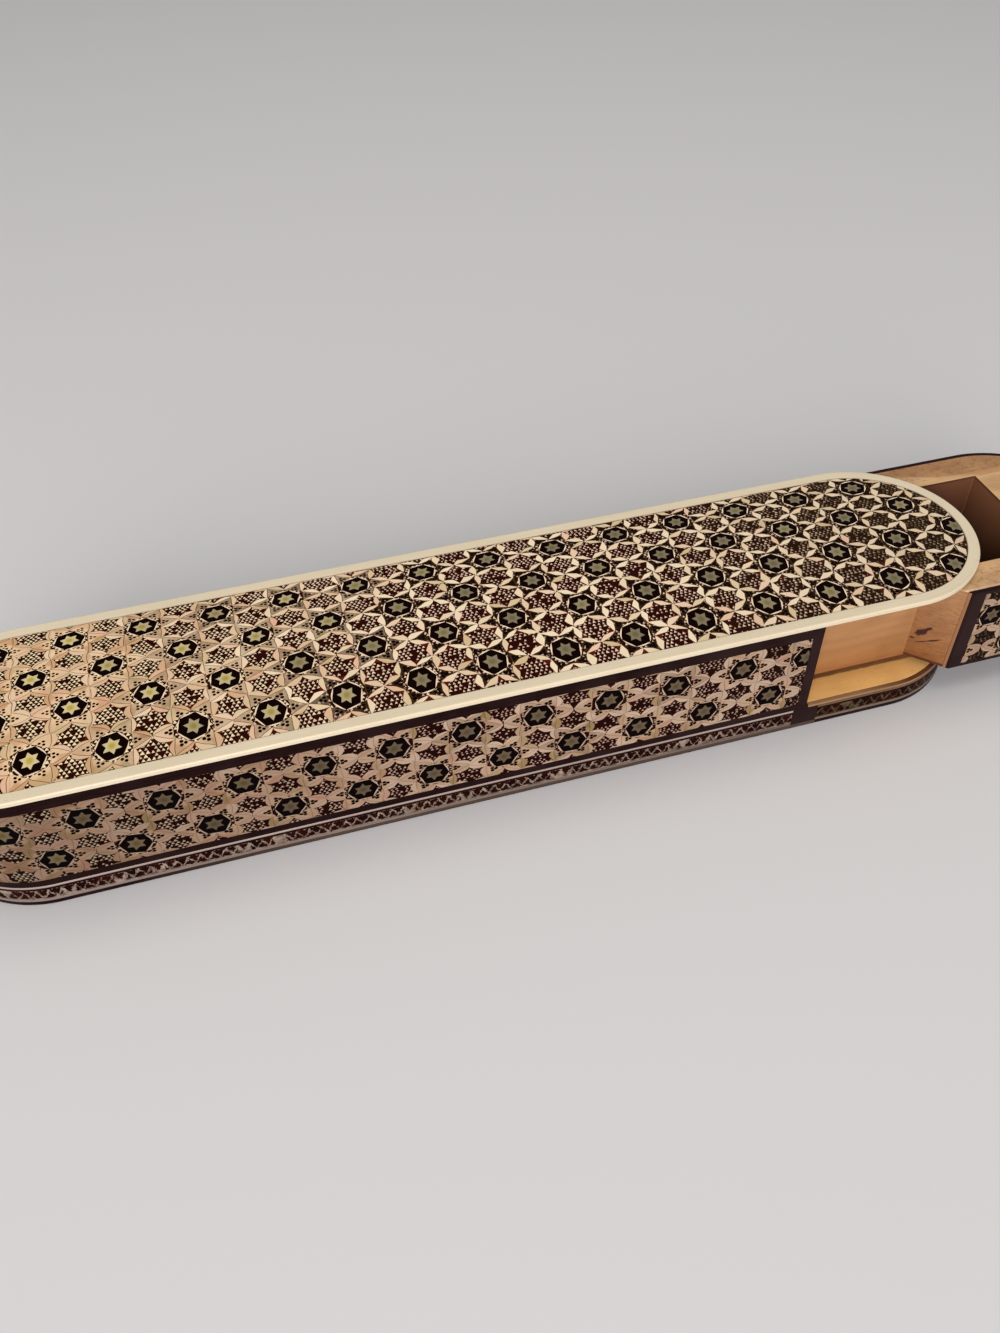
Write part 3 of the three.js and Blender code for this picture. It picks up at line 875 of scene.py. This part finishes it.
def wood_material(
    name, light, dark, seed, band_width=3.4, marks=(), sapwood=False, stained_and_shaded=False, speckled=0.0,
    brown_above=None, shade_at=None, foot=None,
):
    """Bare wood. The last three are places in mm: a height, a distance from the middle, a height."""
    material, shader, place = new_material(name, light)
    x, y, z = separate(place)
    grain = use_group(WOOD_GRAIN, **{"Place": place, "Band width": band_width, "Seed": seed})
    bands, fibres, pores = (Value(grain[n]) for n in ("Bands", "Fibres", "Pores"))
    cloud, _ = noise(place, 0.11, 3.0)
    ragged, _ = noise(place, 1.1, 2.0)
    share = clamped(bands * 0.42 + fibres * 0.9 - 0.36)
    layers = [(share, dark)]
    if sapwood:
        layers += sapwood_and_highlight_layers(x, y, z, light, share, cloud)
    if foot is not None:
        # Painted shade along the foot of the walls and shoulders, where they meet the board.
        layers.append((clamped((foot + FOOT_LINE - z) * 5) * 0.9, FOOT_SHADE))
    if shade_at is not None:
        # Painted shade in a line on the floor board beside the walls.
        layers.append((clamped((shade_at - abs(y) + (ragged - 0.5) * 0.5) * 5) * 0.85, BOARD_SEAM_SHADE))
    if brown_above is not None:
        layers.append(((z > brown_above) * clamped((x - 80) * 0.08 + 0.25), HANDLED_BROWN))
    layers.append((clamped(cloud * 2.4 - 0.95) * 0.5, darker(dark, 0.72)))
    if speckled:
        specks, _ = noise(combine(x * 0.6, y * 0.8, z * 2.8), 1.0, 3.0, 0.7)
        layers.append((clamped(specks * 3 - 1.5) * speckled, darker(dark, 0.5)))
    layers.append((pores * 0.45, WOOD_PORE))
    layers += [(mark_on_end(y, z, *mark, ragged), MARK_BROWN) for mark in marks]
    if stained_and_shaded:
        layers.append(stain_and_shade_layer(x, y, z, cloud))
    roughness = clamped(fibres * 0.25 + 0.42)
    normal = bump(grain["Height"], 0.35, 0.10)
    dress(shader, lay_over(light, *layers), roughness, SHINE["wood"], normal)
    return material


sleeve_wood = wood_material("sleeve wood", (0.50, 0.245, 0.095), (0.34, 0.14, 0.048), 3.0)
board_wood = wood_material(
    "floor board wood", (0.92, 0.56, 0.20), (0.78, 0.43, 0.135), 11.0, 4.2, shade_at=tray_half / MM + 0.30
)
rim_wood = wood_material(
    "worn rim at the mouth", (0.36, 0.21, 0.105), (0.27, 0.135, 0.055), 23.0, 2.0,
    brown_above=floor_top / MM - 0.12,
)
tray_wood = wood_material(
    "tray wood", (0.41, 0.180, 0.060), (0.30, 0.118, 0.036), 7.0, 3.0, sapwood=True, stained_and_shaded=True,
    foot=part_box("tray_front_wall")[0].z / MM,
)
shoulder_wood = wood_material(
    "tray shoulder wood", (0.31, 0.115, 0.030), (0.19, 0.062, 0.015), 19.0, 2.6, SHOULDER_MARKS,
    sapwood=True, speckled=0.8, foot=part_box("tray_front_filler")[0].z / MM,
)
print("materials:", len(bpy.data.materials))

# %% [markdown]
# Now the pieces. A joiner would glue up one long block with round ends, and saw the parts out of
# it. The same way works here: a cylinder is stretched into a long round-ended block, hollowed into
# a ring where a veneer is wanted, and each piece is a copy of it, cut to its ends by planes. Then
# two edges that have to meet really do, because they come from one block.
#
# Three of these helpers do the sawing with Blender's own tools: a stretched cylinder, an inset and
# bridge that turn a block into a ring, and a bisect that cuts and closes.

# %% Make round-ended blocks and rings, and cut them
ROUND_STEPS = 128
HALF_STEP = math.pi / ROUND_STEPS


def pick(piece, kind, test):
    """In edit mode, selects just the vertices, edges or faces that pass a test."""
    bpy.ops.mesh.select_mode(type=kind)
    bpy.ops.mesh.select_all(action="DESELECT")
    mesh = bmesh.from_edit_mesh(piece.data)
    parts = {"VERT": mesh.verts, "EDGE": mesh.edges, "FACE": mesh.faces}[kind]
    for part in parts:
        if test(part):
            part.select_set(True)
    mesh.select_flush_mode()
    bmesh.update_edit_mesh(piece.data)


def round_ended_block(name, radius, low, high, left=-end_centre, right=end_centre):
    """A block with a half circle about left and about right, which are the sleeve's unless given."""
    bpy.ops.object.select_all(action="DESELECT")
    bpy.ops.mesh.primitive_cylinder_add(
        vertices=ROUND_STEPS, radius=radius / math.cos(HALF_STEP), depth=high - low,
        location=((left + right) / 2, 0, (low + high) / 2), rotation=(0, 0, HALF_STEP),
    )
    piece = bpy.context.active_object
    piece.name = piece.data.name = name
    bpy.ops.object.transform_apply(location=True, rotation=True, scale=True)
    bpy.ops.object.mode_set(mode="EDIT")
    middle, half = (left + right) / 2, (right - left) / 2
    pick(piece, "VERT", lambda v: v.co.x > middle)
    bpy.ops.transform.translate(value=(half, 0, 0))
    pick(piece, "VERT", lambda v: v.co.x < middle)
    bpy.ops.transform.translate(value=(-half, 0, 0))
    bpy.ops.object.mode_set(mode="OBJECT")
    return piece


def hollow(piece, thickness):
    """Turns a block into a ring of even thickness, by an inset at both caps and a bridge through."""
    bpy.ops.object.mode_set(mode="EDIT")
    pick(piece, "FACE", lambda f: abs(f.normal.z) > 0.9)
    bpy.ops.mesh.inset(thickness=thickness, depth=0)
    bpy.ops.mesh.bridge_edge_loops()
    bpy.ops.object.mode_set(mode="OBJECT")
    return piece


def face_ring(low, high, right=end_centre):
    """A ring as thick as the veneer, with the side faces of the box as its outside."""
    return hollow(round_ended_block("ring", face_radius, low, high, right=right), veneer)


def cut_from(block, name, *planes):
    """A copy of a block, cut by planes. Each plane is (point, direction) and what lies that way goes."""
    bpy.ops.object.select_all(action="DESELECT")
    piece = block.copy()
    piece.data = block.data.copy()
    piece.name = piece.data.name = name
    bpy.context.scene.collection.objects.link(piece)
    bpy.context.view_layer.objects.active = piece
    piece.select_set(True)
    bpy.ops.object.mode_set(mode="EDIT")
    for point, direction in planes:
        bpy.ops.mesh.select_all(action="SELECT")
        bpy.ops.mesh.bisect(
            plane_co=point, plane_no=direction, use_fill=True, clear_outer=True, threshold=1e-7
        )
    bpy.ops.object.mode_set(mode="OBJECT")
    return piece


def beyond_x(x): return ((x, 0, 0), (1, 0, 0))
def before_x(x): return ((x, 0, 0), (-1, 0, 0))
def nearer_than(y, side): return ((0, side * y, 0), (0, -side, 0))
def further_than(y, side): return ((0, side * y, 0), (0, side, 0))


SIDES = (("front", -1), ("back", 1))


def side_runs(left, right):
    """The names and planes that cut a front run and a back run, from left to right, out of a ring."""
    return [(name, (before_x(left), beyond_x(right), nearer_than(0, side))) for name, side in SIDES]


# %% [markdown]
# No sanded edge is perfectly sharp. A small bevel on each piece catches the light as a real edge
# does, and smooth shading with weighted normals keeps the flat faces flat and the round ones round.
#
# A finished piece then rides on its body and stands for its solid. The print says how far its box is
# from the solid's, which should be next to nothing.

# %% Ease the edges, and hand a piece over
PLATE_EDGE, TRAY_EDGE, CORE_EDGE, BLOCK_EDGE = 0.25, 0.18, 0.15, 0.12
STRIP_EDGE, LINE_EDGE, VENEER_EDGE = 0.08, 0.05, 0.04

bodies = {node: body for body, nodes in frame["record"]["behaviour"]["bodies"].items() for node in nodes}
misfits = []


def ease_edges(piece, width_mm, segments):
    bevel = piece.modifiers.new("eased edges", "BEVEL")
    bevel.width, bevel.segments = width_mm * MM, segments
    bevel.limit_method, bevel.angle_limit = "ANGLE", math.radians(25)
    bpy.ops.object.modifier_apply(modifier=bevel.name)
    bpy.ops.object.shade_smooth_by_angle(angle=math.radians(50))
    even = piece.modifiers.new("even normals", "WEIGHTED_NORMAL")
    even.keep_sharp = True
    bpy.ops.object.modifier_apply(modifier=even.name)


def hand_over(piece, node, material, eased_mm, segments=2):
    """Eases and dresses a piece, and lets it stand for its solid."""
    ease_edges(piece, eased_mm, segments)
    piece.data.materials.clear()
    piece.data.materials.append(material)
    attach(piece, bodies[node])
    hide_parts(node)
    low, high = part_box(node)
    corners = [v.co for v in piece.data.vertices]
    misfit = max(
        max(abs(min(c[i] for c in corners) - low[i]), abs(max(c[i] for c in corners) - high[i]))
        for i in range(3)
    )
    misfits.append(misfit)
    print(f"{piece.name}: {len(piece.data.polygons)} faces, off its solid's box by {misfit / MM:.3f} mm")


def drop(block):
    """Takes away a block that pieces were cut from."""
    bpy.data.objects.remove(block)


# %% [markdown]
# The foot comes first, from the table up: a thin dark plate, the floor board on it, and round the
# board's edge a narrow marquetry band between two cream lines, with a rim above them. Each level
# is really two lengths, a long one round the closed end and a short one round the mouth. Below
# the ends of the walls a dark block on each side parts all but the rims, which meet above it.
#
# The lines are not one cream: the lower one is darker, as painted shade close to the table, and at
# the mouth the upper line has worn through to dark wood and the rim to bare wood.

# %% Model the foot
plate = round_ended_block("foot_plate", face_radius, plate_low.z, plate_high.z)
hand_over(plate, "base_plate", plate_veneer, PLATE_EDGE, 3)
board = round_ended_block("floor_board", core_radius, board_low.z, board_high.z)
hand_over(board, "bottom_board", board_wood, STRIP_EDGE)

for level, long_finish, mouth_finish in (
    ("foot_lower_line", shaded_lower_cream, shaded_mouth_lower_cream),
    ("foot_marquetry_band", long_band, mouth_band),
    ("foot_upper_line", upper_cream, mouth_cream),
    ("foot_rim", dark_strip, rim_wood),
):
    low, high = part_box(level + "_long")
    mouth_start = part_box(level + "_mouth")[0].x
    ring = face_ring(low.z, high.z)
    long_run = cut_from(ring, level.replace("foot", "round_foot"), beyond_x(high.x))
    hand_over(long_run, level + "_long", long_finish, LINE_EDGE)
    mouth_run = cut_from(ring, level.replace("foot", "mouth_foot"), before_x(mouth_start))
    hand_over(mouth_run, level + "_mouth", mouth_finish, LINE_EDGE)
    drop(ring)

# %% [markdown]
# The two dark blocks are short lengths of the same ring, cut between the ends of the bands. The
# one at the back is the mirror image of the one in front.

# %% Model the foot blocks
ring = face_ring(block_low.z, block_high.z)
for name, planes in side_runs(block_low.x, block_high.x):
    block = cut_from(ring, name + "_foot_stop", *planes)
    hand_over(block, name + "_foot_block", dark_upright, BLOCK_EDGE)
drop(ring)

# %% [markdown]
# The sleeve's core is two side walls and a closed end, sawn from one round-ended block. Each wall
# stops in a slant, which meets the slanted shoulder of the tray when the box is shut.

# %% Model the sleeve's core
def slant(outer_x, side, keep):
    """The plane of a slanted end through the outer face at outer_x. keep is 1 to keep what lies beyond it."""
    normal = Vector((math.cos(SHOULDER_ANGLE), -side * math.sin(SHOULDER_ANGLE), 0))
    return ((outer_x, side * face_radius, 0), normal * -keep)


core = round_ended_block("core", core_radius, floor_top, lid_under)
end_block = cut_from(core, "closed_end_core", beyond_x(cavity_end))
hand_over(end_block, "closed_end_block", sleeve_wood, CORE_EDGE)
for name, side in SIDES:
    inner = nearer_than(wall_inner, side)
    wall = cut_from(core, name + "_core", before_x(cavity_end), slant(wall_end, side, -1), inner)
    hand_over(wall, name + "_wall", sleeve_wood, CORE_EDGE)
drop(core)

# %% [markdown]
# The veneer on the walls is a marquetry panel framed by dark strips: a thin one below, a wider one
# above under the moulding, and an upright one at the slanted end. Each level is one ring round the
# sleeve, cut into a front run, a back run and the bend round the closed end.

# %% Model the sleeve's veneer
strip_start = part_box("front_marquetry")[1].x
sleeve_runs = (*side_runs(-end_centre, strip_start), ("closed_end", (beyond_x(-end_centre),)))
levels = ("lower_border", dark_strip), ("marquetry", sleeve_stars), ("upper_border", dark_strip)
for level, finish in levels:
    low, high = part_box("front_" + level)
    ring = face_ring(low.z, high.z)
    for name, planes in sleeve_runs:
        run = cut_from(ring, f"{name}_{level}_veneer", *planes)
        hand_over(run, f"{name}_{level}", finish, VENEER_EDGE)
    drop(ring)

ring = face_ring(floor_top, lid_under)
for name, side in SIDES:
    planes = before_x(strip_start), slant(wall_end, side, -1), nearer_than(0, side)
    strip = cut_from(ring, name + "_upright_strip", *planes)
    hand_over(strip, name + "_end_strip", dark_upright, STRIP_EDGE)
drop(ring)

# %% [markdown]
# The lid is a thin board with the large marquetry sheet glued on, framed by the cream moulding.
# The moulding's outer edge is rounded over above and below, and its inner edge stands a hair proud
# of the sheet, which is what catches the bright line along it. The rounding is a bevel on just the
# edges that lie on the outside.

# %% Model the lid
PROUD = 0.10 * MM
GLUE_GAP = 0.1 * MM
TOP_NOSING, UNDER_NOSING = 0.35 * MM, 0.14 * MM

lid_board_low, lid_board_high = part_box("lid_board")
board = round_ended_block("lid_core", sheet_radius, lid_board_low.z, lid_board_high.z)
hand_over(board, "lid_board", sleeve_wood, STRIP_EDGE)
sheet = round_ended_block("lid_sheet", sheet_radius, sheet_low.z, sheet_high.z - PROUD)
hand_over(sheet, "lid_marquetry", lid_stars, LINE_EDGE)

moulding = round_ended_block("lid_edge_moulding", lid_radius, lid_low.z, lid_high.z)
hollow(moulding, lid_radius + lid_board_low.y - GLUE_GAP)
bpy.ops.object.mode_set(mode="EDIT")


def lies_at(edge, radius):
    """Tells whether both ends of an edge are at one distance from the box's middle line."""
    def distance(v):
        past = max(abs(v.co.x) - end_centre, 0)
        return math.hypot(past, v.co.y)
    return all(abs(distance(v) - radius) < 0.05 * MM for v in edge.verts)


def is_level_with(edge, height):
    return all(abs(v.co.z - height) < 0.01 * MM for v in edge.verts)


for height, nosing in ((lid_high.z, TOP_NOSING), (lid_low.z, UNDER_NOSING)):
    pick(moulding, "EDGE", lambda e: lies_at(e, lid_radius) and is_level_with(e, height))
    bpy.ops.mesh.bevel(offset=nosing, segments=6, affect="EDGES", profile=0.5)
bpy.ops.object.mode_set(mode="OBJECT")
hand_over(moulding, "lid_moulding", moulding_cream, BLOCK_EDGE)

# %% [markdown]
# The tray is a long open box whose end is a solid round nose. Its floor, thin walls, inner end,
# nose block and side fillers are all sawn from one round-ended block, which stands where the nose
# is, so that the walls run out into the nose's curve.

# %% Model the tray's box
def tray_piece(name, node, finish, *planes):
    """One part of the tray, sawn from a block as high as the part's solid."""
    low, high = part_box(node)
    block = round_ended_block("block", core_radius, low.z, high.z, tray_start - core_radius, nose_centre)
    hand_over(cut_from(block, name, *planes), node, finish, TRAY_EDGE)
    drop(block)


within = (further_than(tray_inside, 1), further_than(tray_inside, -1))
tray_piece("tray_bottom", "tray_floor", tray_wood, before_x(floor_low.x), beyond_x(floor_high.x), *within)
stop_planes = before_x(inner_low.x), beyond_x(inner_high.x)
tray_piece("tray_back_stop", "tray_inner_end", tray_wood, *stop_planes, *within)
tray_piece("nose_core", "tray_nose_block", tray_wood, before_x(compartment_end), *within)
for name, side in SIDES:
    wall_planes = before_x(tray_start), nearer_than(tray_inside, side), further_than(tray_half, side)
    tray_piece(f"tray_{name}_side", f"tray_{name}_wall", tray_wood, *wall_planes)
    shoulder_planes = nearer_than(tray_half, side), slant(shoulder_end, side, 1)
    tray_piece(f"tray_{name}_shoulder", f"tray_{name}_filler", shoulder_wood, *shoulder_planes)

# %% [markdown]
# The nose is veneered like the sleeve: a marquetry panel between dark borders, bent round the nose
# in three lengths, with a dark upright strip at each shoulder.

# %% Model the nose's veneer
for level in ("nose_lower_border", "nose_upper_border"):
    low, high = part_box(level)
    ring = face_ring(low.z, high.z, nose_centre)
    border = cut_from(ring, level + "_veneer", before_x(nose_leg))
    hand_over(border, level, dark_strip, LINE_EDGE)
    drop(ring)

low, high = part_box("nose_end_marquetry")
ring = face_ring(low.z, high.z, nose_centre)
for name, planes in (("end", (before_x(nose_centre),)), *side_runs(nose_leg, nose_centre)):
    run = cut_from(ring, f"nose_{name}_veneer", *planes)
    hand_over(run, f"nose_{name}_marquetry", nose_stars, VENEER_EDGE)
drop(ring)

ring = face_ring(nose_low, tray_top, nose_centre)
for name, side in SIDES:
    planes = slant(shoulder_end, side, 1), beyond_x(nose_leg), nearer_than(0, side)
    strip = cut_from(ring, f"nose_{name}_upright", *planes)
    hand_over(strip, f"nose_{name}_strip", shoulder_strip, STRIP_EDGE)
drop(ring)
print("worst fit to a solid's box:", round(max(misfits) / MM, 3), "mm")

# %% [markdown]
# The floor is a plain pale sheet, wide enough to fill the view. The light in the photograph is
# soft and comes from in front, as from a large low window: the box's front and the edge of its
# lid are a good deal brighter than its top. A warmer lamp overhead and a pale world light the
# rest.

# %% Lay the floor and hang the lights
bpy.ops.object.select_all(action="DESELECT")
bpy.ops.mesh.primitive_plane_add(size=6, location=(0, 0, 0))
floor = bpy.context.active_object
floor.name = "floor"
floor_material = bpy.data.materials.new("pale floor")
floor_material.use_nodes = True
paper = floor_material.node_tree.nodes["Principled BSDF"]
paper.inputs["Base Color"].default_value = (0.65, 0.65, 0.665, 1)
paper.inputs["Roughness"].default_value = 0.9
paper.inputs["Specular IOR Level"].default_value = 0.2
floor.data.materials.append(floor_material)


def add_lamp(name, place, target, size, power, colour):
    """A square soft lamp that points at a target."""
    lamp = bpy.data.lights.new(name, "AREA")
    lamp.shape, lamp.size, lamp.energy, lamp.color = "SQUARE", size, power, colour
    holder = bpy.data.objects.new(name, lamp)
    bpy.context.scene.collection.objects.link(holder)
    holder.location = place
    holder.rotation_mode = "QUATERNION"
    holder.rotation_quaternion = (Vector(target) - Vector(place)).to_track_quat("-Z", "Y")
    return holder


add_lamp("front window", (-0.35, -1.00, 0.48), (0, 0, 0.01), 0.8, 11.6, (1.0, 0.96, 0.955))
add_lamp("overhead fill", (0.05, 0.02, 1.10), (0, 0, 0), 0.9, 4.8, (1.0, 0.95, 0.84))

world = bpy.data.worlds.new("pale room")
world.use_nodes = True
world.node_tree.nodes["Background"].inputs["Color"].default_value = (0.98, 0.98, 1.0, 1)
world.node_tree.nodes["Background"].inputs["Strength"].default_value = 0.34
bpy.context.scene.world = world
bpy.context.scene.view_settings.view_transform = "Standard"

# %% [markdown]
# The camera stands where the photograph was taken from. Its place and aim were worked out from the
# outlines of the lid and the foot, whose sizes are known, and its lens from how they converge.

# %% Place the camera
IMAGE_HEIGHT = 1333
FOCAL_PIXELS = 1123.7
CAMERA_PLACE = Vector((-38.05, -158.65, 176.98)) * MM
CAMERA_RIGHT = Vector((0.9603, -0.27854, -0.01559))
CAMERA_DOWN = Vector((-0.20648, -0.67205, -0.71114))
CAMERA_AHEAD = Vector((0.1876, 0.68613, -0.70288))

camera = bpy.data.cameras.new("photo camera")
camera.sensor_width = 36
camera.lens = FOCAL_PIXELS / IMAGE_HEIGHT * camera.sensor_width
camera.clip_start, camera.clip_end = 0.01, 20
holder = bpy.data.objects.new("photo camera", camera)
bpy.context.scene.collection.objects.link(holder)
turn = Matrix((CAMERA_RIGHT, -CAMERA_DOWN, -CAMERA_AHEAD)).transposed()
holder.rotation_mode = "QUATERNION"
holder.rotation_quaternion = turn.to_quaternion()
holder.location = CAMERA_PLACE
bpy.context.scene.camera = holder
print("lens", round(camera.lens, 2), "mm on a sensor", camera.sensor_width, "mm high")

# %% [markdown]
# Last, the view layer is brought up to date.

# %% Finish
bpy.context.view_layer.update()
